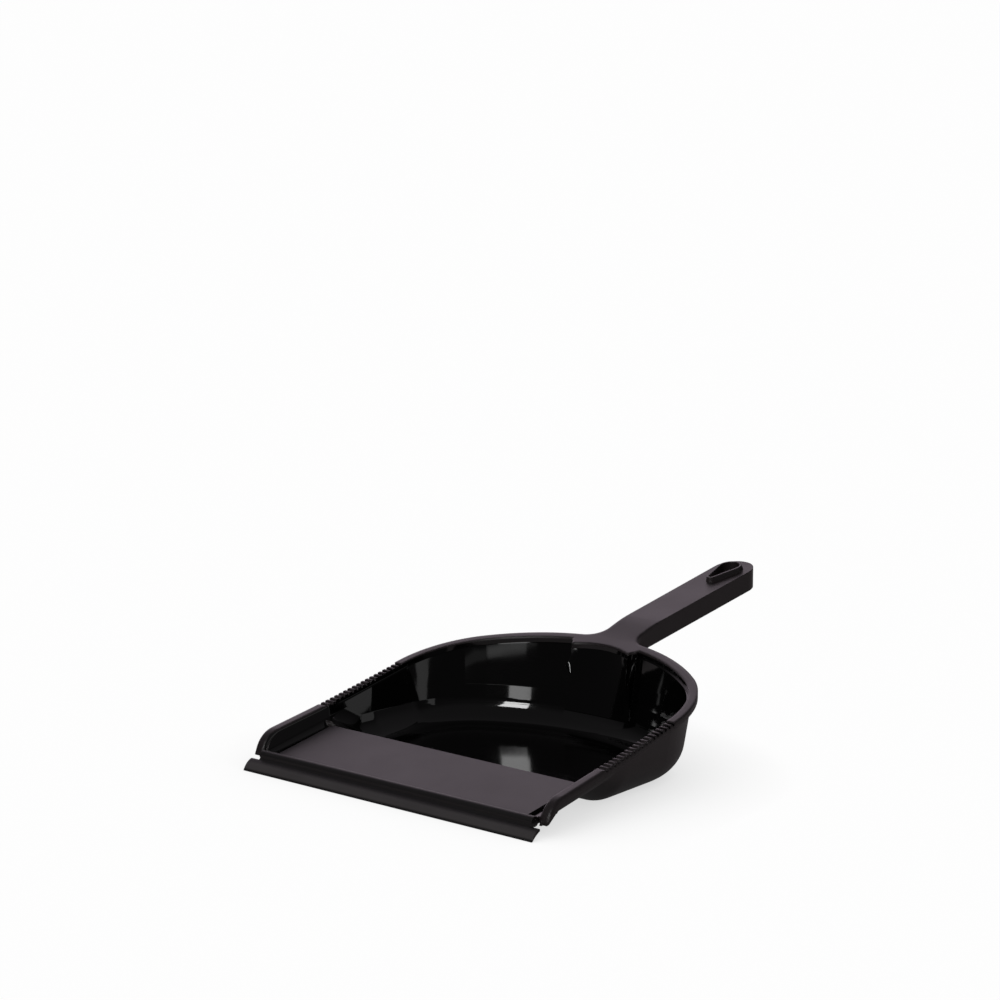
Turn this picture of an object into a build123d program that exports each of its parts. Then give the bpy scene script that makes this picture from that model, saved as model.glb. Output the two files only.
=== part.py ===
"""Hand dustpan: one moulded pan with its handle, and a soft lip on the front edge.

X runs across, Y from the lip to the handle, Z up; sizes are in millimetres. A station is a distance
back from the lip's front edge. The origin is under the middle of the whole length.
"""

import math
import os

from build123d import *

os.makedirs("parts", exist_ok=True)

# Whole object
overall_length = 332.5
lip_width = 220.0

# Rim seen from above
rim_half_width = 107.3
rim_side_slope = 0.0424
rim_corner_radius = 64.0
rim_top_width = 5.5
rail_top_width = 6.6
round_station = 129.2
rim_back_station = 204.5

# Top line seen from the side
nose_station = 15.8
nose_steepness = 2.6
nose_foot_height = 6.3
nose_foot_slope = 0.75
nose_foot_station = 10.3
nose_foot_back_station = 19.0
skirt_half_width = 107.6
nose_radius = 16.0
rail_slope = 0.177
rail_end_station = 58.0
rail_end_height = 26.6
rim_middle_station = 127.0
rim_middle_height = 41.2
rim_back_height = 58.7

# Rim's edge
flange_thickness = 2.2
top_seat = 1.3
edge_lip_start = 1.6
edge_lip_drop = 3.4
edge_lip_thickness = 1.6
edge_round = 1.1
band_height = 2.9
band_station = 70.0

# Comb teeth on the two rails
comb_start_station = 61.3
comb_end_station = 126.7
tooth_count = 18
tooth_groove = 1.5
tooth_groove_depth = 1.1
tooth_drop = 0.15

# Bowl
wall_front_station = 9.0
wall_thickness = 3.1
wall_overhang = 3.3
wall_draft = 9.0
wall_corner_radius = 53.5
floor_thickness = 2.5
bowl_bottom_radius = 22.5
cove_radius = 17.6
ramp_angle = 30.5

# Deck in front of the bowl
leaf_slope = 0.178
leaf_front_station = 17.7
leaf_front_height = 10.4
leaf_thickness = 1.5
leaf_half_width = 95.2
leaf_back_station = 58.8
leaf_corner_radius = 3.0
deck_thickness = 2.4
deck_corner_radius = 7.0
deck_back_station = 59.6
tongue_station = 9.5
tongue_half_width = 98.0
guide_slope = 0.21
guide_station = 17.4
guide_height = 11.0
guide_ledge = 1.4
pocket_corner_radius = 3.0
notch_gap = 0.8

# Handle
handle_root_half = 12.6
handle_tip_half = 13.3
handle_tip_radius = 12.9
handle_tip_height = 84.84
handle_slope = 0.184
handle_start_station = 232.0
handle_wall = 2.2
handle_depth = 12.2
handle_wall_station = 197.0
root_fillet = 13.0

# Hollowed panel inside the bowl, under the handle's root
panel_half_width = 25.0
panel_top_edge_station = 188.7
panel_top_station = 195.5
panel_foot_edge_station = 187.75
panel_foot_station = 189.65
panel_foot_height = 13.9
flute_x = 27.5
flute_station = 189.8
flute_radius = 6.0
flute_foot_x = 22.0
flute_foot_radius = 0.6
flute_foot_height = 36.4

# Hanging hole with its raised collar
hole_station = 317.5
hole_radius = 6.2
hole_length = 20.5
hole_point_radius = 1.6
collar_height = 2.9
collar_wall = 1.3
collar_foot = 2.3
collar_seat = 1.1

# Lip
lip_clearance = 0.1
blade_edge = 0.9
blade_roll_station = 2.1
blade_roll_height = 3.3
blade_root_station = 6.3
blade_root_height = 6.0
blade_end_station = 7.2
blade_thickness = 1.2
bead_station = 10.4
bead_height = 8.2
bead_radius = 3.0
bead_half_length = 103.7
bead_end_gap = 1.3
valley_radius = 1.2
leg_thickness = 1.8
leg_back_station = 18.0

# Space kept round the pan's shapes while they are cut to size
reach = 140.0
hull_height = 80.0
far_front_station = -30.0
cut_clearance = 6.0

# Limits that pick out faces and edges
side_limit = 0.9
upper_limit = 0.5
front_limit = -0.9
root_search_half = 25.2
upright_edge_tilt = 15.0

draft_ratio = math.tan(math.radians(wall_draft))
wall_half_width = rim_half_width - wall_overhang - draft_ratio * rim_middle_height
wall_back_station = rim_back_station - wall_overhang - draft_ratio * rim_back_height
wall_side_slope = rim_side_slope + draft_ratio * rail_slope


def along(station):
    """Y of a distance back from the lip's front edge."""
    return station - overall_length / 2


def at(station, height):
    """Point on the plane of symmetry."""
    return (along(station), height)


def leaf_top(station):
    """Height of the leaf's upper face."""
    return leaf_front_height + leaf_slope * (station - leaf_front_station)


def handle_top(station):
    """Height of the handle's upper face."""
    return handle_tip_height - handle_slope * (overall_length - station)


def sloped_plane(station, height, slope):
    """Plane across the pan that rises with the slope towards the handle."""
    return Plane(origin=(0, along(station), height), x_dir=(1, 0, 0), z_dir=(0, -slope, 1))


def plan_outline(half_width, side_slope, corner_radius, back_station, front_station, grow, mode):
    """Face with straight sides, two corner arcs and a back arc, all moved out by grow."""
    tilt = math.atan(side_slope)
    corner_x = half_width - corner_radius * math.cos(tilt)
    corner_y = along(round_station) - corner_radius * math.sin(tilt)
    depth = along(back_station) - corner_y
    back_radius = (corner_x**2 + depth**2 - corner_radius**2) / (2 * (depth - corner_radius))
    back_y = along(back_station) - back_radius
    turn = math.degrees(math.atan2(corner_y - back_y, corner_x))
    start = math.degrees(tilt)
    grown_radius = corner_radius + grow
    side_x = corner_x + grown_radius * math.cos(tilt)
    side_y = corner_y + grown_radius * math.sin(tilt)
    front_y = along(front_station)
    front_x = side_x + side_slope * (side_y - front_y)
    with BuildLine() as outline:
        CenterArc((corner_x, corner_y), grown_radius, start, turn - start)
        CenterArc((0, back_y), back_radius + grow, turn, 180 - 2 * turn)
        CenterArc((-corner_x, corner_y), grown_radius, 180 - turn, turn - start)
        Polyline((-side_x, side_y), (-front_x, front_y), (front_x, front_y), (side_x, side_y))
    make_face(outline.line, mode=mode)


def rim_plan(front_station, grow, mode=Mode.ADD):
    """Plan of the rim's outer edge, moved out by grow."""
    plan_outline(
        rim_half_width, rim_side_slope, rim_corner_radius, rim_back_station, front_station, grow, mode
    )


def wall_hull(front_station, foot, inset):
    """Tapered solid inside the wall's outer face, moved in by inset, from the foot upwards."""
    top_grow = draft_ratio * hull_height - inset
    with BuildSketch(Plane.XY.offset(-hull_height)) as section:
        plan_outline(
            wall_half_width,
            wall_side_slope,
            wall_corner_radius,
            wall_back_station,
            front_station - draft_ratio * hull_height - cut_clearance,
            top_grow,
            Mode.ADD,
        )
    upside_down = extrude(section.sketch, amount=hull_height - foot, taper=wall_draft, mode=Mode.PRIVATE)
    mirror(upside_down, about=Plane.XY)
    split(bisect_by=Plane((0, along(front_station), 0), x_dir=(1, 0, 0), z_dir=(0, 1, 0)), keep=Keep.TOP)


def side_face(shift, mode=Mode.ADD):
    """Face under the top line, moved back and down by shift."""
    nose_height = rail_end_height - rail_slope * (rail_end_station - nose_station)
    handle_start = at(handle_start_station + shift, handle_top(handle_start_station) - shift)
    handle_end = at(overall_length + reach + shift, handle_top(overall_length + reach) - shift)
    rail_end = at(rail_end_station + shift, rail_end_height - shift)
    rim_middle = at(rim_middle_station + shift, rim_middle_height - shift)
    rim_back = at(rim_back_station + shift, rim_back_height - shift)
    nose_low_station = nose_station - (nose_height + reach) / nose_steepness
    below = at(nose_low_station + shift, -reach - shift)
    with BuildLine() as outline:
        FilletPolyline(below, at(nose_station + shift, nose_height - shift), rail_end, radius=nose_radius)
        rim_line = ThreePointArc(rail_end, rim_middle, rim_back)
        Spline(rim_back, handle_start, tangents=[rim_line % 1, (1, handle_slope)])
        Polyline(handle_start, handle_end, (handle_end[0], below[1]), below)
    make_face(outline.line, mode=mode)


def handle_plan(front_station, inset, mode=Mode.ADD):
    """Plan of the handle from a station to its rounded tip, moved in by inset."""
    spread = (handle_tip_half - handle_root_half) / (overall_length - handle_start_station)
    front_half = handle_tip_half - spread * (overall_length - front_station) - inset
    tip_half = handle_tip_half - inset
    tip_y = along(overall_length) - inset
    with BuildSketch() as handle:
        with BuildLine() as outline:
            Polyline(
                (-front_half, along(front_station)),
                (-tip_half, tip_y),
                (tip_half, tip_y),
                (front_half, along(front_station)),
                close=True,
            )
        make_face(outline.line)
        fillet(handle.vertices().group_by(Axis.Y)[-1], handle_tip_radius - inset)
    add(handle.sketch, mode=mode)


def panel_plan(edge_station, middle_station, mode=Mode.ADD):
    """Plan of the block behind the panel, with a hollow front between its edges."""
    edge_y = along(edge_station)
    back_y = along(rim_back_station)
    with BuildLine() as outline:
        ThreePointArc((-panel_half_width, edge_y), (0, along(middle_station)), (panel_half_width, edge_y))
        Polyline(
            (panel_half_width, edge_y),
            (panel_half_width, back_y),
            (-panel_half_width, back_y),
            (-panel_half_width, edge_y),
        )
    make_face(outline.line, mode=mode)


def leaf_strip(front_station, back_station, top_drop, low_drop):
    """Side view of a strip that runs parallel to the leaf's upper face, between two depths below it."""
    with BuildLine() as outline:
        Polyline(
            at(front_station, leaf_top(front_station) - top_drop),
            at(back_station, leaf_top(back_station) - top_drop),
            at(back_station, leaf_top(back_station) - low_drop),
            at(front_station, leaf_top(front_station) - low_drop),
            close=True,
        )
    make_face(outline.line)


def drop_plan(radius, point_radius):
    """Teardrop round the hanging hole's centre, its point towards the bowl."""
    with BuildSketch() as drop:
        Circle(radius)
        with Locations((0, hole_point_radius - hole_length)):
            Circle(point_radius)
        make_hull()
    return drop.sketch


# Side views that are pushed across the whole width
with BuildSketch(Plane.YZ) as under_top:
    side_face(top_seat)

with BuildSketch(Plane.YZ) as flange_side:
    side_face(0)
    side_face(flange_thickness, Mode.SUBTRACT)

with BuildSketch(Plane.YZ) as edge_lip_side:
    side_face(edge_lip_start)
    side_face(edge_lip_drop, Mode.SUBTRACT)

with BuildSketch(Plane.YZ) as band_side:
    side_face(0)
    side_face(band_height, Mode.SUBTRACT)

with BuildSketch(Plane.YZ) as handle_side:
    side_face(edge_lip_start)
    with BuildLine():
        Polyline(
            at(handle_wall_station, handle_top(handle_wall_station) - handle_depth),
            at(overall_length + reach, handle_top(overall_length + reach) - handle_depth),
            at(overall_length + reach, handle_top(overall_length + reach) + reach),
            at(handle_wall_station, reach),
            close=True,
        )
    make_face(mode=Mode.INTERSECT)

# Plan of the rim and the handle together
with BuildSketch() as top_outline:
    rim_plan(far_front_station, 0)
    handle_plan(round_station, 0)
    root_corners = top_outline.vertices().filter_by(
        lambda v: abs(v.X) < root_search_half and along(round_station) < v.Y < along(rim_back_station)
    )
    fillet(root_corners, root_fillet)

# Outside of the bowl and of the deck
with BuildPart() as bowl_outside:
    wall_hull(deck_back_station - deck_thickness, 0, 0)
    ramp_height = leaf_top(deck_back_station) - leaf_thickness
    ramp_slope = -math.tan(math.radians(ramp_angle))
    ramp_wall = wall_thickness / math.cos(math.radians(ramp_angle))
    split(bisect_by=sloped_plane(deck_back_station, ramp_height - ramp_wall, ramp_slope), keep=Keep.TOP)
    outer_floor = bowl_outside.faces().sort_by(Axis.Z)[0]
    fillet(outer_floor.edges().sort_by(Axis.Y)[0], bowl_bottom_radius)
    outer_floor = bowl_outside.faces().sort_by(Axis.Z)[0]
    fillet(outer_floor.edges().sort_by(Axis.Y)[-1], bowl_bottom_radius)

with BuildPart() as deck_outside:
    wall_hull(wall_front_station, 0, 0)
    deck_low = leaf_top(deck_back_station) - leaf_thickness - deck_thickness
    split(bisect_by=sloped_plane(deck_back_station, deck_low, leaf_slope), keep=Keep.TOP)
    deck_tail = along(deck_back_station) + bowl_bottom_radius
    split(bisect_by=Plane((0, deck_tail, 0), x_dir=(1, 0, 0), z_dir=(0, -1, 0)), keep=Keep.TOP)
    deck_under = deck_outside.faces().sort_by(Axis.Z)[0]
    fillet(deck_under.edges().filter_by(lambda e: abs(e.center().X) > leaf_half_width), deck_corner_radius)

# Inside of the bowl and of the deck
with BuildPart() as bowl_inside:
    wall_hull(deck_back_station - deck_thickness, floor_thickness, wall_thickness)
    split(bisect_by=sloped_plane(deck_back_station, ramp_height, ramp_slope), keep=Keep.TOP)
    inner_floor = bowl_inside.faces().sort_by(Axis.Z)[0]
    fillet(inner_floor.edges().sort_by(Axis.Y)[0], cove_radius)
    inner_floor = bowl_inside.faces().sort_by(Axis.Z)[0]
    fillet(inner_floor.edges().sort_by(Axis.Y)[-1], cove_radius)

with BuildPart() as deck_inside:
    wall_hull(far_front_station, 0, wall_thickness)
    split(bisect_by=sloped_plane(guide_station, guide_height, guide_slope), keep=Keep.TOP)
    split(bisect_by=Plane((0, deck_tail, 0), x_dir=(1, 0, 0), z_dir=(0, -1, 0)), keep=Keep.TOP)

with BuildPart() as pocket:
    wall_hull(far_front_station, 0, wall_thickness + guide_ledge)
    split(bisect_by=sloped_plane(deck_back_station, ramp_height, leaf_slope), keep=Keep.TOP)
    pocket_tail = along(deck_back_station)
    split(bisect_by=Plane((0, pocket_tail, 0), x_dir=(1, 0, 0), z_dir=(0, -1, 0)), keep=Keep.TOP)
    pocket_floor = pocket.faces().sort_by(Axis.Z)[0]
    pocket_sides = pocket_floor.edges().filter_by(lambda e: abs(e.center().X) > leaf_half_width)
    fillet(pocket_sides, pocket_corner_radius)

# Block that carries the panel, hollowed more at the top than at the foot
with BuildPart() as panel_block:
    with BuildSketch(Plane.XY.offset(panel_foot_height)) as panel_foot:
        panel_plan(panel_foot_edge_station, panel_foot_station)
    with BuildSketch(Plane.XY.offset(rim_back_height)) as panel_top:
        panel_plan(panel_top_edge_station, panel_top_station)
    loft([panel_foot.sketch, panel_top.sketch], ruled=True)
    add(bowl_outside.part, mode=Mode.INTERSECT)

# Top of the rim, the rails and the handle
with BuildSketch() as opening_plan:
    rim_plan(far_front_station - cut_clearance, -rail_top_width)
    panel_plan(panel_top_edge_station, panel_top_station, Mode.SUBTRACT)

with BuildPart() as top_plate:
    with BuildSketch(Plane.XY.offset(nose_foot_height)):
        add(top_outline.sketch)
        add(opening_plan.sketch, mode=Mode.SUBTRACT)
    extrude(amount=reach)
    extrude(flange_side.sketch, amount=reach, both=True, mode=Mode.INTERSECT)

last_groove_y = along(comb_end_station - tooth_groove / 2)
comb_plane = Plane((0, last_groove_y, 0), x_dir=(1, 0, 0), z_dir=(0, 1, 0))

with BuildPart() as rim_top:
    add(top_plate.part)
    split(bisect_by=comb_plane, keep=Keep.TOP)

with BuildPart() as rail_tops:
    add(top_plate.part)
    split(bisect_by=comb_plane, keep=Keep.BOTTOM)
    upper_faces = rail_tops.faces().filter_by(
        lambda f: f.normal_at().Z > upper_limit or f.normal_at().Y < front_limit
    )
    side_faces = rail_tops.faces().filter_by(lambda f: abs(f.normal_at().X) > side_limit)
    fillet(upper_faces.edges() & side_faces.edges(), edge_round)

# Lip under the rim's outer edge, and the handle's side walls
with BuildPart() as edge_lip:
    with BuildSketch(Plane.XY.offset(nose_foot_height)):
        add(top_outline.sketch)
        offset(top_outline.sketch, amount=-edge_lip_thickness, kind=Kind.INTERSECTION, mode=Mode.SUBTRACT)
    extrude(amount=reach)
    extrude(edge_lip_side.sketch, amount=reach, both=True, mode=Mode.INTERSECT)

with BuildPart() as handle_walls:
    with BuildSketch():
        handle_plan(handle_wall_station, 0)
        handle_plan(round_station, handle_wall, Mode.SUBTRACT)
    extrude(amount=reach)
    extrude(handle_side.sketch, amount=reach, both=True, mode=Mode.INTERSECT)

with BuildPart() as rim_band:
    with BuildSketch():
        rim_plan(band_station, -rim_top_width)
        panel_plan(panel_top_edge_station, panel_top_station, Mode.SUBTRACT)
    extrude(amount=reach)
    extrude(band_side.sketch, amount=reach, both=True, mode=Mode.INTERSECT)

# Comb teeth have level tops, so each one is cut down to the height where it starts
with BuildPart() as comb_cuts:
    rim_line = ThreePointArc(
        at(rail_end_station, rail_end_height),
        at(rim_middle_station, rim_middle_height),
        at(rim_back_station, rim_back_height),
    )
    rim_length = rim_back_station - rail_end_station
    tooth_pitch = (comb_end_station - comb_start_station) / tooth_count
    comb_inner_x = rim_half_width - rail_top_width - cut_clearance
    with BuildSketch(Plane.YZ.offset(comb_inner_x)) as comb_side:
        for tooth in range(tooth_count):
            tooth_start = comb_start_station + tooth * tooth_pitch - rail_end_station
            start = rim_line @ (tooth_start / rim_length)
            end = rim_line @ ((tooth_start + tooth_pitch) / rim_length)
            groove_y = end.X - tooth_groove
            tooth_top = start.Y - tooth_drop
            groove_low = tooth_top - tooth_groove_depth
            with BuildLine():
                Polyline(
                    (start.X, tooth_top),
                    (groove_y, tooth_top),
                    (groove_y, groove_low),
                    (end.X, groove_low),
                    (end.X, end.Y + cut_clearance),
                    (start.X, start.Y + cut_clearance),
                    close=True,
                )
            make_face()
    extrude(amount=rail_top_width + 2 * cut_clearance)
    mirror(about=Plane.YZ)

with BuildPart() as flutes:
    flute_foot = Vector(flute_foot_x, along(flute_station), flute_foot_height)
    flute_mouth = Vector(flute_x, along(flute_station), rim_back_height)
    flute_axis = flute_mouth - flute_foot
    with Locations(Plane(origin=flute_foot, x_dir=(0, 1, 0), z_dir=flute_axis)):
        Cone(
            flute_foot_radius,
            flute_radius,
            flute_axis.length,
            align=(Align.CENTER, Align.CENTER, Align.MIN),
        )
    mirror(about=Plane.YZ)

with BuildPart() as nose_notches:
    notch_back = along(bead_station + bead_radius + notch_gap)
    notch_width = bead_half_length + bead_end_gap - tongue_half_width
    with BuildSketch():
        with Locations((tongue_half_width, notch_back)):
            Rectangle(notch_width, reach, align=(Align.MIN, Align.MAX))
    extrude(amount=bead_height + 2 * bead_radius)
    with BuildSketch():
        with Locations((tongue_half_width, notch_back)):
            Rectangle(reach, reach, align=(Align.MIN, Align.MAX))
    extrude(amount=nose_foot_height)
    with BuildSketch(Plane.YZ.offset(skirt_half_width)):
        with BuildLine():
            foot_front = at(far_front_station, nose_foot_height)
            foot_start = at(nose_foot_station, nose_foot_height)
            foot_rise = nose_foot_slope * (nose_foot_back_station - nose_foot_station)
            foot_end = at(nose_foot_back_station, nose_foot_height + foot_rise)
            Polyline(
                foot_front,
                foot_start,
                foot_end,
                at(nose_foot_back_station, 0),
                at(far_front_station, 0),
                close=True,
            )
        make_face()
    extrude(amount=reach)
    mirror(about=Plane.YZ)

# Tongue of the deck, which the lip grips
with BuildPart() as tongue:
    with BuildSketch(Plane.YZ):
        leaf_strip(tongue_station, guide_station, leaf_thickness, leaf_thickness + deck_thickness)
    extrude(amount=tongue_half_width, both=True)

hole_plane = Plane(
    origin=(0, along(hole_station), handle_top(hole_station)), x_dir=(1, 0, 0), z_dir=(0, -handle_slope, 1)
)

with BuildPart() as collar:
    with BuildSketch(hole_plane.offset(-collar_seat)) as collar_low:
        add(drop_plan(hole_radius + collar_foot, hole_point_radius + collar_foot))
    with BuildSketch(hole_plane.offset(collar_height)) as collar_high:
        add(drop_plan(hole_radius + collar_wall, hole_point_radius + collar_wall))
    loft([collar_low.sketch, collar_high.sketch], ruled=True)

with BuildPart() as hole:
    with BuildSketch(hole_plane):
        add(drop_plan(hole_radius, hole_point_radius))
    extrude(amount=collar_height + cut_clearance, both=True)

with BuildPart() as pan:
    add(bowl_outside.part)
    add(deck_outside.part)
    add(bowl_inside.part, mode=Mode.SUBTRACT)
    add(deck_inside.part, mode=Mode.SUBTRACT)
    add(pocket.part, mode=Mode.SUBTRACT)
    add(panel_block.part)
    extrude(under_top.sketch, amount=reach, both=True, mode=Mode.INTERSECT)
    add(rim_top.part)
    add(rail_tops.part)
    add(edge_lip.part)
    add(handle_walls.part)
    # Stepped band under the rim's inner edge
    add(rim_band.part, mode=Mode.SUBTRACT)
    # Comb teeth
    add(comb_cuts.part, mode=Mode.SUBTRACT)
    # Flutes beside the panel
    add(flutes.part, mode=Mode.SUBTRACT)
    # Notches beside the tongue and under the noses
    add(nose_notches.part, mode=Mode.SUBTRACT)
    add(tongue.part)
    # Hanging hole
    add(collar.part)
    add(hole.part, mode=Mode.SUBTRACT)

pan.part.label = "pan"
export_step(pan.part, "parts/pan.step")

with BuildPart() as lip:
    web_back = tongue_station - lip_clearance
    leg_top = leaf_thickness + deck_thickness + lip_clearance
    leg_low = leaf_top(web_back) - leg_top - leg_thickness
    blade_front = at(0, 0)
    blade_root = at(blade_root_station, blade_root_height)
    blade_end_low = blade_root_height - blade_thickness
    blade_end = at(blade_end_station, blade_end_low)
    with BuildSketch(Plane.YZ):
        with BuildLine():
            ThreePointArc(blade_front, at(blade_roll_station, blade_roll_height), blade_root)
            Polyline(blade_root, at(blade_end_station, blade_root_height), blade_end)
            ThreePointArc(
                blade_end,
                at(blade_roll_station + blade_edge, blade_roll_height - blade_thickness),
                at(blade_edge, 0),
            )
            Line(at(blade_edge, 0), blade_front)
        make_face()
    extrude(amount=lip_width / 2, both=True)
    with BuildSketch(Plane.YZ) as bead_side:
        with BuildLine():
            Polyline(
                blade_root,
                at(web_back, bead_height),
                at(web_back, leg_low),
                at(blade_root_station, blade_end_low),
                close=True,
            )
        make_face()
        with Locations(at(bead_station, bead_height)):
            Circle(bead_radius)
        valley = bead_side.vertices().filter_by(lambda v: v.X > blade_root[0]).sort_by(Axis.X)[0]
        fillet(valley, valley_radius)
    extrude(amount=bead_half_length, both=True)
    with BuildSketch(Plane.YZ):
        leaf_strip(bead_station, leaf_back_station, 0, leaf_thickness - lip_clearance)
        leaf_strip(web_back, leg_back_station, leg_top, leg_top + leg_thickness)
    extrude(amount=leaf_half_width, both=True)
    slot_top = leaf_thickness - lip_clearance
    with BuildSketch(Plane.YZ):
        leaf_strip(web_back, leg_back_station, slot_top, leg_top)
    extrude(amount=tongue_half_width + lip_clearance, both=True, mode=Mode.SUBTRACT)
    leaf_corners = lip.edges().filter_by(Axis.Z, tolerance=upright_edge_tilt).group_by(Axis.Y)[-1]
    fillet(leaf_corners, leaf_corner_radius)

lip.part.label = "lip"
export_step(lip.part, "parts/lip.step")
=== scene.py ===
"""Looks of a hand dustpan: a black moulded pan with a soft dark grey lip, on a plain pale floor.

Everything is in metres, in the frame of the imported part: X across, Y from the lip to the handle, Z up.
A station is a distance back from the lip's front edge.
"""

import math
from typing import NamedTuple

import bpy
from bpy.props import FloatProperty, FloatVectorProperty, PointerProperty
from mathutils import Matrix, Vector


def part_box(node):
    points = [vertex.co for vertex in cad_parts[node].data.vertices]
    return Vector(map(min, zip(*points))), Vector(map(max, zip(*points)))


bl_info = {
    "name": "Hand Dustpan Finish",
    "version": (1, 0, 0),
    "blender": (4, 5, 0),
    "location": "View3D > Sidebar > Dustpan",
    "description": "Finishes a moulded dustpan and its soft lip, and sets the stage for it",
    "category": "Object",
}

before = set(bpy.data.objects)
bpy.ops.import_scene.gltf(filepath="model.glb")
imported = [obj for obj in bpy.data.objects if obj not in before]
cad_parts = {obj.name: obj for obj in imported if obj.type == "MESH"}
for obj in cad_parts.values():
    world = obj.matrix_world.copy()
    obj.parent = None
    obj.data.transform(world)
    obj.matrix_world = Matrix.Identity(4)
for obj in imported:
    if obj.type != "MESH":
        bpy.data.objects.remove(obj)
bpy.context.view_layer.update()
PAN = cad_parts["pan"]
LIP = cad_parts["lip"]
FRONT_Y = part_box("lip")[0].y
WHITE = (1.0, 1.0, 1.0)

# Details of the finishes, in metres where they are lengths
EDGE_SAMPLES = 6
FINE_DETAIL = 2.0
SOFT_DETAIL = 3.0
WAVE_DETAIL = 1.0
NOISE_MIDDLE = 0.5
GRAIN_DEPTH = 0.00004
GRAIN_STRENGTH = 0.5
FLOW_WIDTH = 0.012
FLOW_SPREAD = 0.05
SATIN_MOTTLE_WIDTH = 0.02
SATIN_SPREAD = 0.1
SATIN_SHADES = (0.8, 1.25)
INWARD_LIMIT = 0.002
POLISH_BLEND = 0.001
LIP_MOTTLE_WIDTH = 0.025
LIP_SPREAD = 0.08
LEAF_SHADES = (0.9, 1.12)
BLADE_SHADES = (0.85, 1.2)
# Z of a normal where a face starts to count as level, and where it fully does
LEVEL_NORMALS = (0.9, 0.99)
# Y of a normal where a face starts to count as facing back, and where it fully does
BACKWARD_NORMALS = (0.3, 0.5)
# Depth below the rim's top where the polish starts, and where it is full
RIM_MARGIN = (0.0006, 0.0013)

# Details of the stage
FLOOR_CORNERS = 96
FLOOR_DROP = 0.0001
SHADOW_SAMPLES = 16
# Watts for each square metre of an area light that show as a radiance of 1
POWER_PER_RADIANCE = 4.0


class Socket:
    """A shader socket that takes part in plain Python sums, each of which adds a Math node."""

    def __init__(self, shader, socket):
        self.shader = shader
        self.socket = socket

    def math(self, operation, first, second=0.0):
        return self.shader.node("ShaderNodeMath", {"operation": operation}, {0: first, 1: second})

    def __add__(self, other):
        return self.math("ADD", self, other)

    def __radd__(self, other):
        return self.math("ADD", other, self)

    def __sub__(self, other):
        return self.math("SUBTRACT", self, other)

    def __rsub__(self, other):
        return self.math("SUBTRACT", other, self)

    def __mul__(self, other):
        return self.math("MULTIPLY", self, other)

    def __rmul__(self, other):
        return self.math("MULTIPLY", other, self)

    def __abs__(self):
        return self.math("ABSOLUTE", self)

    def larger(self, other):
        return self.math("MAXIMUM", self, other)

    def smooth(self, low, high):
        """0 below low, 1 above high, and an even rise between them."""
        settings = {"interpolation_type": "SMOOTHSTEP"}
        inputs = {"Value": self, "From Min": low, "From Max": high}
        return self.shader.node("ShaderNodeMapRange", settings, inputs)

    def within(self, low, high, blend):
        """1 from low to high, with an even rise before low and an even fall after high."""
        return self.smooth(low - blend, low) - self.smooth(high, high + blend)


class Shader:
    """A node tree that is written as expressions."""

    def __init__(self, tree):
        self.tree = tree
        tree.nodes.clear()

    def node(self, kind, settings=None, inputs=None, output=0):
        """Adds a node, sets it up, feeds its sockets and gives one of its outputs."""
        node = self.tree.nodes.new(kind)
        for name, value in (settings or {}).items():
            setattr(node, name, value)
        for name, value in (inputs or {}).items():
            if isinstance(value, Socket):
                self.tree.links.new(value.socket, node.inputs[name])
            else:
                node.inputs[name].default_value = value
        return Socket(self, node.outputs[output]) if node.outputs else None

    def place(self):
        """The point on the object, in metres."""
        return self.node("ShaderNodeTexCoord", output="Object")

    def axes(self, vector):
        """X, Y and Z of a vector."""
        parts = self.node("ShaderNodeSeparateXYZ", inputs={"Vector": vector}).socket.node
        return [Socket(self, part) for part in parts.outputs]

    def vector(self, operation, first, second, output="Vector"):
        return self.node("ShaderNodeVectorMath", {"operation": operation}, {0: first, 1: second}, output)

    def noise(self, place, width, detail):
        """Noise whose patches are about one width wide."""
        inputs = {"Vector": place, "Scale": 1 / width, "Detail": detail}
        return self.node("ShaderNodeTexNoise", inputs=inputs, output="Fac")

    def around(self, middle, noise, spread):
        """A value that strays from its middle by half the spread at most."""
        return middle + (noise - NOISE_MIDDLE) * spread

    def mottled(self, noise, colour, shades):
        """The colour in patches, from a darker shade to a lighter one."""
        dark, light = shades
        return self.blend(noise, shade(colour, dark), shade(colour, light))

    def blend(self, share, first, second):
        """First colour at share 0, second at share 1. A Mix node's colours are its sockets 6 and 7."""
        first, second = [c if isinstance(c, Socket) else (*c, 1.0) for c in (first, second)]
        return self.node("ShaderNodeMix", {"data_type": "RGBA"}, {0: share, 6: first, 7: second}, output=2)

    def soft_edges(self, radius):
        """Normal that turns evenly over sharp edges."""
        return self.node("ShaderNodeBevel", {"samples": EDGE_SAMPLES}, {"Radius": radius})

    def grained(self, place, width, normal):
        """The normal with a fine grain."""
        inputs = {
            "Height": self.noise(place, width, FINE_DETAIL),
            "Distance": GRAIN_DEPTH,
            "Strength": GRAIN_STRENGTH,
            "Normal": normal,
        }
        return self.node("ShaderNodeBump", inputs=inputs)

    def finish(self, surface):
        self.node("ShaderNodeOutputMaterial", inputs={"Surface": surface})


def new_material(name):
    material = bpy.data.materials.new(name)
    material.use_nodes = True
    return material, Shader(material.node_tree)


def shade(colour, share):
    """The colour, lighter or darker by a share."""
    return tuple(share * part for part in colour)


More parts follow.
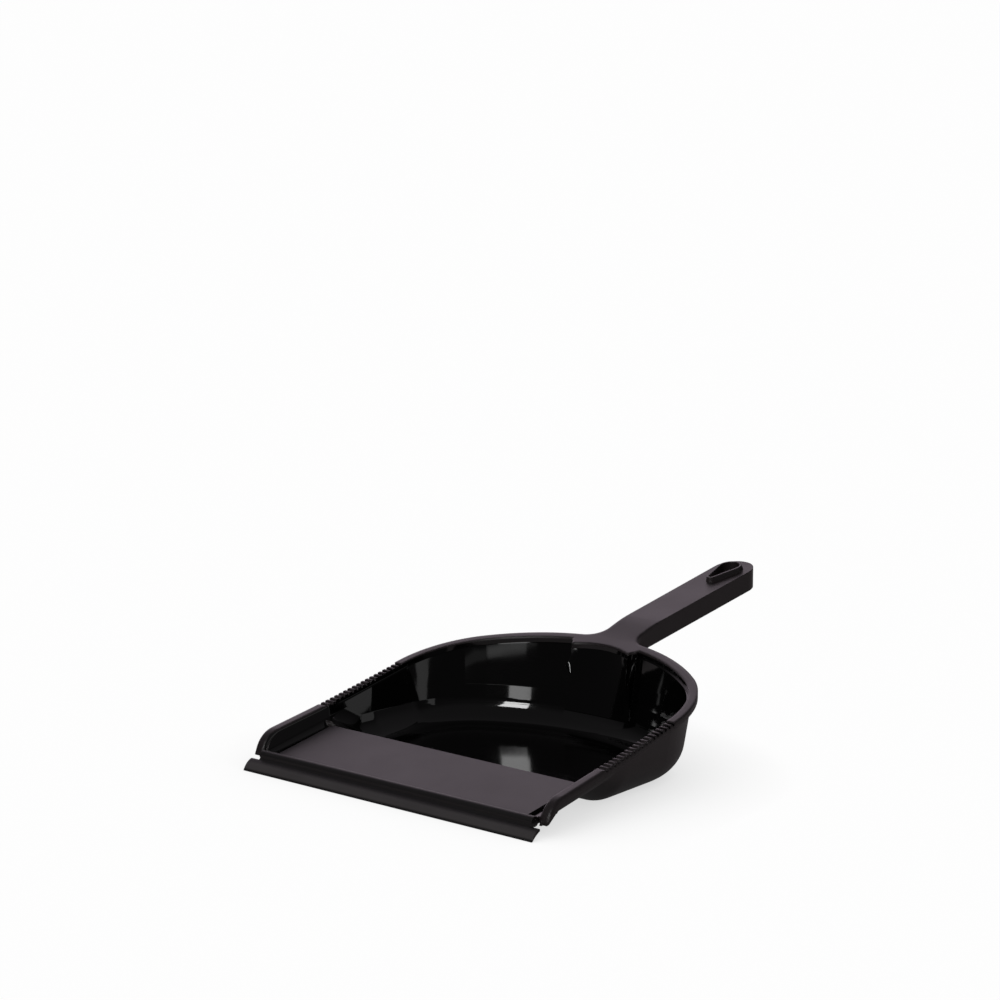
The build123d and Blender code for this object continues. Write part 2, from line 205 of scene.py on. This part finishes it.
class PanFinish(bpy.types.PropertyGroup):
    """Finish of the moulded pan."""

    polished_black: FloatVectorProperty(
        name="Polished black",
        description="Colour inside the bowl",
        subtype="COLOR",
        default=(0.002, 0.002, 0.002),
    )
    satin_black: FloatVectorProperty(
        name="Satin black",
        description="Colour of the rim, the handle and the outer walls",
        subtype="COLOR",
        default=(0.0175, 0.013, 0.0142),
    )
    polished_roughness: FloatProperty(
        name="Polish", description="Roughness inside the bowl", default=0.06, min=0.0, max=1.0
    )
    floor_haze: FloatProperty(
        name="Floor haze",
        description="Extra roughness of the bowl's floor",
        default=0.045,
        min=0.0,
        max=1.0,
    )
    satin_roughness: FloatProperty(
        name="Satin", description="Roughness of the satin surfaces", default=0.38, min=0.0, max=1.0
    )
    polish_front: FloatProperty(
        name="Polish front",
        description="Station where the polished inside starts",
        default=0.013,
        unit="LENGTH",
    )
    polish_back: FloatProperty(
        name="Polish back",
        description="Station where the polished inside ends",
        default=0.2,
        unit="LENGTH",
    )
    rail_end: FloatProperty(
        name="Rail end",
        description="Station where the rails run into the rim",
        default=0.058,
        unit="LENGTH",
    )
    rail_end_height: FloatProperty(
        name="Rail end height",
        description="Height of the rails where they end",
        default=0.0266,
        unit="LENGTH",
    )
    rail_slope: FloatProperty(
        name="Rail slope",
        description="Rise of the rails for each metre back",
        default=0.177,
    )
    rim_slope: FloatProperty(
        name="Rim slope",
        description="Rise of the rim for each metre back",
        default=0.216,
    )
    wall_step: FloatProperty(
        name="Wall step",
        description="Length in which a wall's slope changes",
        default=0.0006,
        unit="LENGTH",
    )
    foot_low: FloatProperty(
        name="Foot low",
        description="Height where the back wall's foot starts",
        default=0.0145,
        unit="LENGTH",
    )
    foot_high: FloatProperty(
        name="Foot high",
        description="Height where the back wall's foot ends",
        default=0.0245,
        unit="LENGTH",
    )
    foot_lean: FloatProperty(
        name="Foot lean",
        description="Extra slope of the back wall's foot",
        default=0.06,
    )
    flare_start: FloatProperty(
        name="Flare start",
        description="Depth below the rim where the wall starts to flare",
        default=0.015,
        unit="LENGTH",
    )
    flare_curve: FloatProperty(
        name="Flare curve",
        description="Slope that the flare gains for each metre up",
        default=2.44,
    )
    side_start: FloatProperty(
        name="Side start",
        description="Distance from the middle where the side walls start",
        default=0.086,
        unit="LENGTH",
    )
    side_full: FloatProperty(
        name="Side full",
        description="Distance from the middle where the side walls are full",
        default=0.097,
        unit="LENGTH",
    )
    side_front: FloatProperty(
        name="Side front",
        description="Station where the side walls start to lean",
        default=0.065,
        unit="LENGTH",
    )
    side_back: FloatProperty(
        name="Side back",
        description="Station where the side walls lean in full",
        default=0.085,
        unit="LENGTH",
    )
    side_lean: FloatProperty(
        name="Side lean",
        description="Extra slope of the side walls",
        default=0.17,
    )
    hollow_front: FloatProperty(
        name="Hollow front",
        description="Station where the side walls stand up straighter",
        default=0.102,
        unit="LENGTH",
    )
    hollow_back: FloatProperty(
        name="Hollow back",
        description="Station where the side walls lean again",
        default=0.131,
        unit="LENGTH",
    )
    hollow_ends: FloatProperty(
        name="Hollow ends",
        description="Length in which the lean changes",
        default=0.005,
        unit="LENGTH",
    )
    hollow_lean: FloatProperty(
        name="Hollow lean",
        description="How much straighter the side walls stand there",
        default=0.075,
    )
    cove_lean: FloatProperty(
        name="Cove lean",
        description="Extra slope of the cove below the hollow",
        default=0.22,
    )
    rail_lean: FloatProperty(
        name="Rail lean",
        description="Extra slope of the rails' inner sides",
        default=0.42,
    )
    side_low: FloatProperty(
        name="Side low",
        description="Height where the side walls start to lean",
        default=0.0125,
        unit="LENGTH",
    )
    side_high: FloatProperty(
        name="Side high",
        description="Height where the side walls lean in full",
        default=0.0175,
        unit="LENGTH",
    )
    panel_lean: FloatProperty(
        name="Panel lean",
        description="Extra slope of the panel",
        default=0.12,
    )
    corner_lean: FloatProperty(
        name="Corner lean",
        description="Slope of the corner beside the panel",
        default=-0.35,
    )
    corner_width: FloatProperty(
        name="Corner width",
        description="Width of the corner beside the panel",
        default=0.006,
        unit="LENGTH",
    )
    corner_inside: FloatProperty(
        name="Corner inside",
        description="How far the corner goes over the panel's edge",
        default=0.0038,
        unit="LENGTH",
    )
    panel_half_width: FloatProperty(
        name="Panel half width",
        description="Half the width of the panel under the handle",
        default=0.025,
        unit="LENGTH",
    )
    panel_front: FloatProperty(
        name="Panel front",
        description="Station where the panel under the handle starts",
        default=0.1872,
        unit="LENGTH",
    )
    wave_length: FloatProperty(
        name="Wave length",
        description="Width of the slow waves in the polish",
        default=0.03,
        unit="LENGTH",
    )
    wave_height: FloatProperty(
        name="Waves",
        description="Height of the slow waves in the polish",
        default=0.00004,
        unit="LENGTH",
    )
    edge_radius: FloatProperty(
        name="Edge radius",
        description="Radius that the rim's edges look rounded to",
        default=0.0026,
        unit="LENGTH",
    )
    handle_edge_radius: FloatProperty(
        name="Handle edge radius",
        description="Radius that the handle's edges look rounded to",
        default=0.0008,
        unit="LENGTH",
    )
    root_back: FloatProperty(
        name="Root back",
        description="Station where the handle's root ends",
        default=0.24,
        unit="LENGTH",
    )
    root_blend: FloatProperty(
        name="Root blend",
        description="Length in which the edges get finer",
        default=0.025,
        unit="LENGTH",
    )
    grain: FloatProperty(
        name="Grain",
        description="Width of one grain on the satin surfaces",
        default=0.0006,
        unit="LENGTH",
    )


class LipFinish(bpy.types.PropertyGroup):
    """Finish of the soft lip."""

    grey: FloatVectorProperty(
        name="Grey",
        description="Colour of the leaf and the bead's back",
        subtype="COLOR",
        default=(0.019, 0.0165, 0.0176),
    )
    # Painted light: the blade in front of the bead gets a lighter grey than the leaf, because it faces up
    # into the light.
    lit_blade_grey: FloatVectorProperty(
        name="Blade grey",
        description="Colour of the scuffed blade in front of the bead",
        subtype="COLOR",
        default=(0.066, 0.061, 0.062),
    )
    blade_end: FloatProperty(
        name="Blade end",
        description="Station where the scuffed front of the blade ends",
        default=0.0042,
        unit="LENGTH",
    )
    # Painted shade: a dark grey on the bead's front and along the blade's lower edge, where shade falls.
    painted_shade_grey: FloatVectorProperty(
        name="Dark grey",
        description="Colour of the bead's front and the blade's edge",
        subtype="COLOR",
        default=(0.006, 0.005, 0.0053),
    )
    bead_top: FloatProperty(
        name="Bead top",
        description="Station where the bead's dark front ends",
        default=0.0098,
        unit="LENGTH",
    )
    edge_height: FloatProperty(
        name="Edge height",
        description="Height of the blade's dark edge",
        default=0.0019,
        unit="LENGTH",
    )
    colour_blend: FloatProperty(
        name="Colour blend",
        description="Length in which the lip's colours change",
        default=0.0012,
        unit="LENGTH",
    )
    roughness: FloatProperty(
        name="Roughness",
        description="Roughness of the lip",
        default=0.39,
        min=0.0,
        max=1.0,
    )
    edge_radius: FloatProperty(
        name="Edge radius",
        description="Radius that edges look rounded to",
        default=0.0004,
        unit="LENGTH",
    )
    grain: FloatProperty(
        name="Grain",
        description="Width of one grain on the lip",
        default=0.0005,
        unit="LENGTH",
    )


class StageSettings(bpy.types.PropertyGroup):
    """Floor, light and camera."""

    floor_colour: FloatVectorProperty(
        name="Floor", description="Colour of the floor", subtype="COLOR", default=(0.36, 0.29, 0.3)
    )
    floor_radius: FloatProperty(
        name="Floor radius",
        description="Half the floor's width",
        default=14.0,
        unit="LENGTH",
    )
    # The floor's soft shadow is painted into its glow from ambient occlusion, not cast by the lamps.
    painted_shadow_reach: FloatProperty(
        name="Shadow reach",
        description="How far the soft shadow goes from the object",
        default=0.07,
        unit="LENGTH",
    )
    painted_shadow_depth: FloatProperty(
        name="Shadow depth",
        description="Darkness of the soft shadow",
        default=0.35,
        min=0.0,
        max=1.0,
    )
    floor_white: FloatProperty(
        name="White floor",
        description="How far the floor shows as plain white",
        default=0.985,
        min=0.0,
        max=1.0,
    )
    floor_white_reflected: FloatProperty(
        name="White floor in reflections",
        description="How far the floor shows as plain white in reflections",
        default=0.12,
        min=0.0,
        max=1.0,
    )
    room_light: FloatProperty(
        name="Room light",
        description="Light from all round",
        default=0.04,
        min=0.0,
    )
    ceiling_light: FloatProperty(
        name="Ceiling light",
        description="Light from overhead",
        default=0.12,
        min=0.0,
    )
    back_light: FloatProperty(
        name="Back light",
        description="Light of the pale backdrop",
        default=0.92,
        min=0.0,
    )
    room_tint: FloatVectorProperty(
        name="Room tint",
        description="Tint of the room and the ceiling",
        subtype="COLOR",
        default=(1.0, 0.96, 1.0),
    )
    backdrop_tint: FloatVectorProperty(
        name="Backdrop tint",
        description="Tint of the pale backdrop",
        subtype="COLOR",
        default=(1.0, 0.85, 0.97),
    )
    backdrop_turn: FloatProperty(
        name="Backdrop turn",
        description="Backdrop's turn from the front",
        subtype="ANGLE",
        default=math.radians(-133.0),
    )
    backdrop_rise: FloatProperty(
        name="Backdrop rise",
        description="Angle of the backdrop's middle above the floor",
        subtype="ANGLE",
        default=math.radians(8.0),
    )
    backdrop_edge: FloatProperty(
        name="Backdrop edge",
        description="Angle from its middle where the backdrop ends",
        subtype="ANGLE",
        default=math.radians(48.0),
    )
    backdrop_core: FloatProperty(
        name="Backdrop core",
        description="Angle from its middle where the backdrop is full",
        subtype="ANGLE",
        default=math.radians(12.0),
    )
    ceiling_low: FloatProperty(
        name="Ceiling low",
        description="Angle above the floor where the ceiling starts",
        subtype="ANGLE",
        default=math.radians(15.0),
    )
    ceiling_high: FloatProperty(
        name="Ceiling high",
        description="Angle above the floor where the ceiling is full",
        subtype="ANGLE",
        default=math.radians(45.0),
    )
    camera_turn: FloatProperty(
        name="Camera turn",
        description="Camera's turn from the front",
        subtype="ANGLE",
        default=math.radians(41.115),
    )
    camera_rise: FloatProperty(
        name="Camera rise",
        description="Camera's angle above the floor",
        subtype="ANGLE",
        default=math.radians(11.34),
    )
    camera_distance: FloatProperty(
        name="Camera distance",
        description="Camera's distance from its aim",
        default=2.1405,
        unit="LENGTH",
    )
    camera_lens: FloatProperty(
        name="Lens",
        description="Focal length in millimetres",
        default=129.24,
    )
    camera_aim: FloatVectorProperty(
        name="Aim",
        description="Point in the middle of the picture",
        subtype="XYZ",
        default=(-0.05585, FRONT_Y + 0.16425, 0.14217),
    )


class Softbox(NamedTuple):
    """An area light, by where it is seen from the middle of the bowl and how large it looks, in degrees."""

    name: str
    turn: float
    rise: float
    width: float
    height: float
    radiance: float
    roll: float = 0.0


SOFTBOXES = (
    Softbox("key_softbox", turn=5.5, rise=32.0, width=13.0, height=13.0, radiance=12.4),
    Softbox("front_card", turn=6.0, rise=11.0, width=11.0, height=5.0, radiance=3.0),
    Softbox("wide_card", turn=24.0, rise=7.0, width=50.0, height=2.4, radiance=0.15, roll=-2.3),
    Softbox("middle_card", turn=12.0, rise=6.6, width=16.0, height=2.4, radiance=0.5),
    Softbox("right_strip", turn=105.0, rise=18.7, width=26.0, height=5.5, radiance=0.45, roll=-28.0),
    Softbox("rear_card", turn=129.0, rise=15.5, width=13.0, height=13.0, radiance=0.33),
)
SOFTBOX_DISTANCE = 4.0
BOWL_MIDDLE = Vector((0.0, FRONT_Y + 0.144, 0.03))


def towards(turn, rise):
    """Direction from the object, turned from the front to the right and raised from the floor."""
    return Vector((math.sin(turn) * math.cos(rise), -math.cos(turn) * math.cos(rise), math.sin(rise)))


class DUSTPAN_OT_finish_pan(bpy.types.Operator):
    """Give the pan its black: polished inside the bowl, satin elsewhere"""

    bl_idname = "dustpan.finish_pan"
    bl_label = "Finish the Pan"

    def execute(self, context):
        finish = context.scene.dustpan_pan
        material, shader = new_material("pan_plastic_black")
        place = shader.place()
        polished = self.polished_share(shader, place, finish)
        edges = self.round_edges(shader, place, finish)
        normal = shader.node("ShaderNodeNewGeometry", output="Normal")
        # Painted highlight: the satin black turns lighter along the edges, where the rounded edge normal
        # leaves the face's own normal.
        painted_edge_highlight = 1 - shader.vector("DOT_PRODUCT", edges, normal, "Value")

        flow = shader.noise(place, FLOW_WIDTH, SOFT_DETAIL)
        haze = shader.axes(normal)[2].smooth(*LEVEL_NORMALS) * finish.floor_haze
        bowl = shader.node(
            "ShaderNodeBsdfPrincipled",
            inputs={
                "Base Color": (*finish.polished_black, 1.0),
                "Roughness": shader.around(finish.polished_roughness + haze, flow, FLOW_SPREAD),
                "Normal": self.bowl_normal(shader, place, finish),
            },
        )
        mottle = shader.noise(place, SATIN_MOTTLE_WIDTH, SOFT_DETAIL)
        satin = shader.node(
            "ShaderNodeBsdfPrincipled",
            inputs={
                "Base Color": shader.mottled(mottle + painted_edge_highlight, finish.satin_black, SATIN_SHADES),
                "Roughness": shader.around(finish.satin_roughness, mottle, SATIN_SPREAD),
                "Normal": shader.grained(place, finish.grain, edges),
            },
        )
        shader.finish(shader.node("ShaderNodeMixShader", inputs={0: polished, 1: satin, 2: bowl}))
        PAN.data.materials[0] = material
        return {"FINISHED"}

    def round_edges(self, shader, place, finish):
        """Normal with the rim's broad edges and the handle's fine ones. A Mix node's vectors are 4 and 5."""
        broad = shader.soft_edges(finish.edge_radius)
        fine = shader.soft_edges(finish.handle_edge_radius)
        station = shader.axes(place)[1] - FRONT_Y
        on_handle = station.smooth(finish.root_back - finish.root_blend, finish.root_back)
        inputs = {0: on_handle, 4: broad, 5: fine}
        return shader.node("ShaderNodeMix", {"data_type": "VECTOR"}, inputs, output=1)

    def rim_top(self, station, finish):
        """Height of the rails and the rim."""
        past_rail = station - finish.rail_end
        rise = (past_rail * finish.rail_slope).larger(past_rail * finish.rim_slope)
        return rise + finish.rail_end_height

    def wall_lean(self, shader, place, finish):
        """How far the bowl's walls lean back beyond their plain draft, as a slope."""
        x, y, z = shader.axes(place)
        station = y - FRONT_Y
        side = abs(x).smooth(finish.side_start, finish.side_full)
        back_wall = self.back_wall_lean(station, z, finish)
        side_wall = self.side_wall_lean(station, z, finish)
        walls = back_wall * (1 - side) + side_wall * side
        panel_side = abs(x).smooth(finish.panel_half_width, finish.panel_half_width + finish.wall_step)
        panel = (1 - panel_side) * self.behind_panel_front(station, finish)
        corner = self.panel_corner(shader, place, finish) * finish.corner_lean
        return walls * (1 - panel) + panel * finish.panel_lean + corner

    def back_wall_lean(self, station, z, finish):
        """Extra slope of the back wall: a leaning foot, and a flare under the rim."""
        foot = z.within(finish.foot_low, finish.foot_high, finish.wall_step)
        flare = (z - self.rim_top(station, finish) + finish.flare_start).larger(0.0)
        return foot * finish.foot_lean + flare * finish.flare_curve

    def side_wall_lean(self, station, z, finish):
        """Extra slope of the side walls, with a straighter hollow, and of the rails before them."""
        step = finish.wall_step
        hollow = station.within(finish.hollow_front, finish.hollow_back, finish.hollow_ends)
        lean = finish.side_lean - hollow * finish.hollow_lean
        cove = (1 - z.smooth(finish.side_high - step, finish.side_high + step)) * hollow
        wall = z.smooth(finish.side_low, finish.side_high) * lean + cove * finish.cove_lean
        on_rail = 1 - station.smooth(finish.side_front - step, finish.side_front)
        behind_rail = station.smooth(finish.side_front, finish.side_back)
        return wall * behind_rail + on_rail * finish.rail_lean

    def behind_panel_front(self, station, finish):
        """1 behind the front of the panel under the handle."""
        return station.smooth(finish.panel_front - finish.wall_step, finish.panel_front)

    def panel_corner(self, shader, place, finish):
        """1 in the corner between the panel's right side and the back wall."""
        x, y = shader.axes(place)[:2]
        step = finish.wall_step
        start = finish.panel_half_width - finish.corner_inside
        end = finish.panel_half_width + finish.corner_width
        return x.within(start, end - step, step) * self.behind_panel_front(y - FRONT_Y, finish)

    def bowl_normal(self, shader, place, finish):
        """Normal of the bowl's inside: leaning walls with slow waves."""
        waves = shader.noise(place, finish.wave_length, WAVE_DETAIL)
        wavy = shader.node("ShaderNodeBump", inputs={"Height": waves, "Distance": finish.wave_height})
        lean = shader.node("ShaderNodeCombineXYZ", inputs={"Z": self.wall_lean(shader, place, finish)})
        leaning = shader.vector("ADD", wavy, lean)
        return shader.node("ShaderNodeVectorMath", {"operation": "NORMALIZE"}, {0: leaning})

    def polished_share(self, shader, place, finish):
        """1 on what faces into the bowl and the deck, below the rim's top."""
        y, z = shader.axes(place)[1:]
        station = y - FRONT_Y
        normal = shader.node("ShaderNodeNewGeometry", output="Normal")
        middle_station = (finish.polish_front + finish.polish_back) / 2
        middle = (0.0, FRONT_Y + middle_station, 2 * finish.rail_end_height)
        inwards = shader.vector("SUBTRACT", middle, place)
        inward = shader.vector("DOT_PRODUCT", normal, inwards, "Value")
        facing_in = inward.smooth(-INWARD_LIMIT, INWARD_LIMIT)
        facing_back = shader.axes(normal)[1].smooth(*BACKWARD_NORMALS)
        panel_side = self.panel_corner(shader, place, finish) * (1 - facing_back)
        after_front = station.smooth(finish.polish_front - POLISH_BLEND, finish.polish_front + POLISH_BLEND)
        behind_back = station.smooth(finish.polish_back - POLISH_BLEND, finish.polish_back + POLISH_BLEND)
        below_rim = (self.rim_top(station, finish) - z).smooth(*RIM_MARGIN)
        return facing_in.larger(panel_side) * after_front * (1 - behind_back) * below_rim


class DUSTPAN_OT_finish_lip(bpy.types.Operator):
    """Give the lip its matte dark grey"""

    bl_idname = "dustpan.finish_lip"
    bl_label = "Finish the Lip"

    def execute(self, context):
        finish = context.scene.dustpan_lip
        material, shader = new_material("lip_rubber_grey")
        place = shader.place()
        y, z = shader.axes(place)[1:]
        station = y - FRONT_Y
        blend = finish.colour_blend
        behind_blade = station.smooth(finish.blade_end - blend, finish.blade_end + blend)
        behind_bead = station.smooth(finish.bead_top - blend, finish.bead_top)
        above_edge = z.smooth(finish.edge_height - blend, finish.edge_height)
        mottle = shader.noise(place, LIP_MOTTLE_WIDTH, SOFT_DETAIL)
        leaf = shader.mottled(mottle, finish.grey, LEAF_SHADES)
        # Painted light: the blade's lighter grey, where its slope faces up into the light.
        lamplit = shader.mottled(mottle, finish.lit_blade_grey, BLADE_SHADES)
        # Painted shade along the blade's lower edge and on the bead's front, up to the bead's top.
        blade = shader.blend(above_edge, finish.painted_shade_grey, lamplit)
        body = shader.blend(behind_bead, finish.painted_shade_grey, leaf)
        rubber = shader.node(
            "ShaderNodeBsdfPrincipled",
            inputs={
                "Base Color": shader.blend(behind_blade, blade, body),
                "Roughness": shader.around(finish.roughness, mottle, LIP_SPREAD),
                "Normal": shader.grained(place, finish.grain, shader.soft_edges(finish.edge_radius)),
            },
        )
        shader.finish(rubber)
        LIP.data.materials[0] = material
        return {"FINISHED"}


class DUSTPAN_OT_set_stage(bpy.types.Operator):
    """Lay the floor, hang the lights and place the camera"""

    bl_idname = "dustpan.set_stage"
    bl_label = "Set the Stage"

    def execute(self, context):
        stage = context.scene.dustpan_stage
        bpy.ops.object.select_all(action="DESELECT")
        self.lay_floor(stage)
        self.light_room(context, stage)
        for softbox in SOFTBOXES:
            self.hang(softbox)
        self.place_camera(context, stage)
        return {"FINISHED"}

    def lay_floor(self, stage):
        """Lays a floor that shows white, with the object's soft shadow painted into its glow from ambient
        occlusion.
        """
        bpy.ops.mesh.primitive_circle_add(
            vertices=FLOOR_CORNERS,
            radius=stage.floor_radius,
            fill_type="NGON",
            location=(0.0, 0.0, -FLOOR_DROP),
        )
        floor = bpy.context.object
        floor.name = "floor"
        material, shader = new_material("pale_floor")
        light_path = shader.node("ShaderNodeLightPath").socket.node
        seen = Socket(shader, light_path.outputs["Is Camera Ray"])
        glossy = Socket(shader, light_path.outputs["Is Glossy Ray"])
        through = Socket(shader, light_path.outputs["Is Transmission Ray"])
        white = seen * stage.floor_white + (glossy + through) * stage.floor_white_reflected
        paper = shader.node("ShaderNodeBsdfDiffuse", inputs={"Color": (*stage.floor_colour, 1.0)})
        # Painted shadow: the glow the camera sees is darkened by ambient occlusion near the object, in place
        # of a shadow cast by the lamps.
        open_sky = shader.node(
            "ShaderNodeAmbientOcclusion",
            {"samples": SHADOW_SAMPLES},
            {"Distance": stage.painted_shadow_reach},
            output="AO",
        )
        painted_shadow_white = shader.blend(open_sky, shade(WHITE, 1 - stage.painted_shadow_depth), WHITE)
        glow = shader.node("ShaderNodeEmission", inputs={"Color": painted_shadow_white, "Strength": 1.0})
        shader.finish(shader.node("ShaderNodeMixShader", inputs={0: white, 1: paper, 2: glow}))
        floor.data.materials.append(material)

    def light_room(self, context, stage):
        """Lights the room dimly, with a pale backdrop behind the object."""
        world = bpy.data.worlds.new("room")
        world.use_nodes = True
        context.scene.world = world
        shader = Shader(world.node_tree)
        way = shader.node("ShaderNodeTexCoord", output="Generated")
        behind = towards(stage.backdrop_turn, stage.backdrop_rise)
        nearness = shader.vector("DOT_PRODUCT", way, tuple(behind), "Value")
        backdrop = nearness.smooth(math.cos(stage.backdrop_edge), math.cos(stage.backdrop_core))
        height = shader.axes(way)[2].smooth(math.sin(stage.ceiling_low), math.sin(stage.ceiling_high))
        dim = shade(stage.room_tint, stage.room_light)
        ceiling = shade(stage.room_tint, stage.ceiling_light)
        pale = shade(stage.backdrop_tint, stage.back_light)
        light = shader.blend(backdrop, shader.blend(height, dim, ceiling), pale)
        room = shader.node("ShaderNodeBackground", inputs={"Color": light, "Strength": 1.0})
        shader.node("ShaderNodeOutputWorld", inputs={"Surface": room})

    def hang(self, softbox):
        """Hangs an area light that faces the middle of the bowl."""
        way = towards(math.radians(softbox.turn), math.radians(softbox.rise))
        bpy.ops.object.light_add(type="AREA", location=BOWL_MIDDLE + SOFTBOX_DISTANCE * way)
        lamp = bpy.context.object
        lamp.name = softbox.name
        lamp.rotation_euler = way.to_track_quat("Z", "Y").to_euler()
        lamp.rotation_euler.rotate_axis("Z", math.radians(softbox.roll))
        lamp.data.shape = "RECTANGLE"
        lamp.data.size = 2 * SOFTBOX_DISTANCE * math.tan(math.radians(softbox.width) / 2)
        lamp.data.size_y = 2 * SOFTBOX_DISTANCE * math.tan(math.radians(softbox.height) / 2)
        lamp.data.energy = POWER_PER_RADIANCE * softbox.radiance * lamp.data.size * lamp.data.size_y

    def place_camera(self, context, stage):
        aim = Vector(stage.camera_aim)
        way = towards(stage.camera_turn, stage.camera_rise)
        bpy.ops.object.camera_add(location=aim + stage.camera_distance * way)
        camera = bpy.context.object
        camera.name = "photo_camera"
        camera.rotation_euler = way.to_track_quat("Z", "Y").to_euler()
        camera.data.lens = stage.camera_lens
        camera.data.clip_end = 2 * stage.floor_radius
        context.scene.camera = camera
        context.scene.view_settings.view_transform = "Standard"


class DUSTPAN_PT_sidebar(bpy.types.Panel):
    """Dustpan finishes and stage"""

    bl_idname = "DUSTPAN_PT_sidebar"
    bl_label = "Dustpan"
    bl_space_type = "VIEW_3D"
    bl_region_type = "UI"
    bl_category = "Dustpan"

    def draw(self, context):
        for operator in OPERATORS:
            self.layout.operator(operator.bl_idname)
        for group in SETTINGS:
            column = self.layout.column()
            settings = getattr(context.scene, group)
            for name in settings.__annotations__:
                column.prop(settings, name)


OPERATORS = (DUSTPAN_OT_finish_pan, DUSTPAN_OT_finish_lip, DUSTPAN_OT_set_stage)
SETTINGS = {"dustpan_pan": PanFinish, "dustpan_lip": LipFinish, "dustpan_stage": StageSettings}
CLASSES = (*SETTINGS.values(), *OPERATORS, DUSTPAN_PT_sidebar)


def register():
    for cls in CLASSES:
        bpy.utils.register_class(cls)
    for name, group in SETTINGS.items():
        setattr(bpy.types.Scene, name, PointerProperty(type=group))


def unregister():
    for name in SETTINGS:
        delattr(bpy.types.Scene, name)
    for cls in reversed(CLASSES):
        bpy.utils.unregister_class(cls)


def main():
    register()
    bpy.ops.dustpan.finish_pan()
    bpy.ops.dustpan.finish_lip()
    bpy.ops.dustpan.set_stage()


if __name__ == "__main__":
    main()
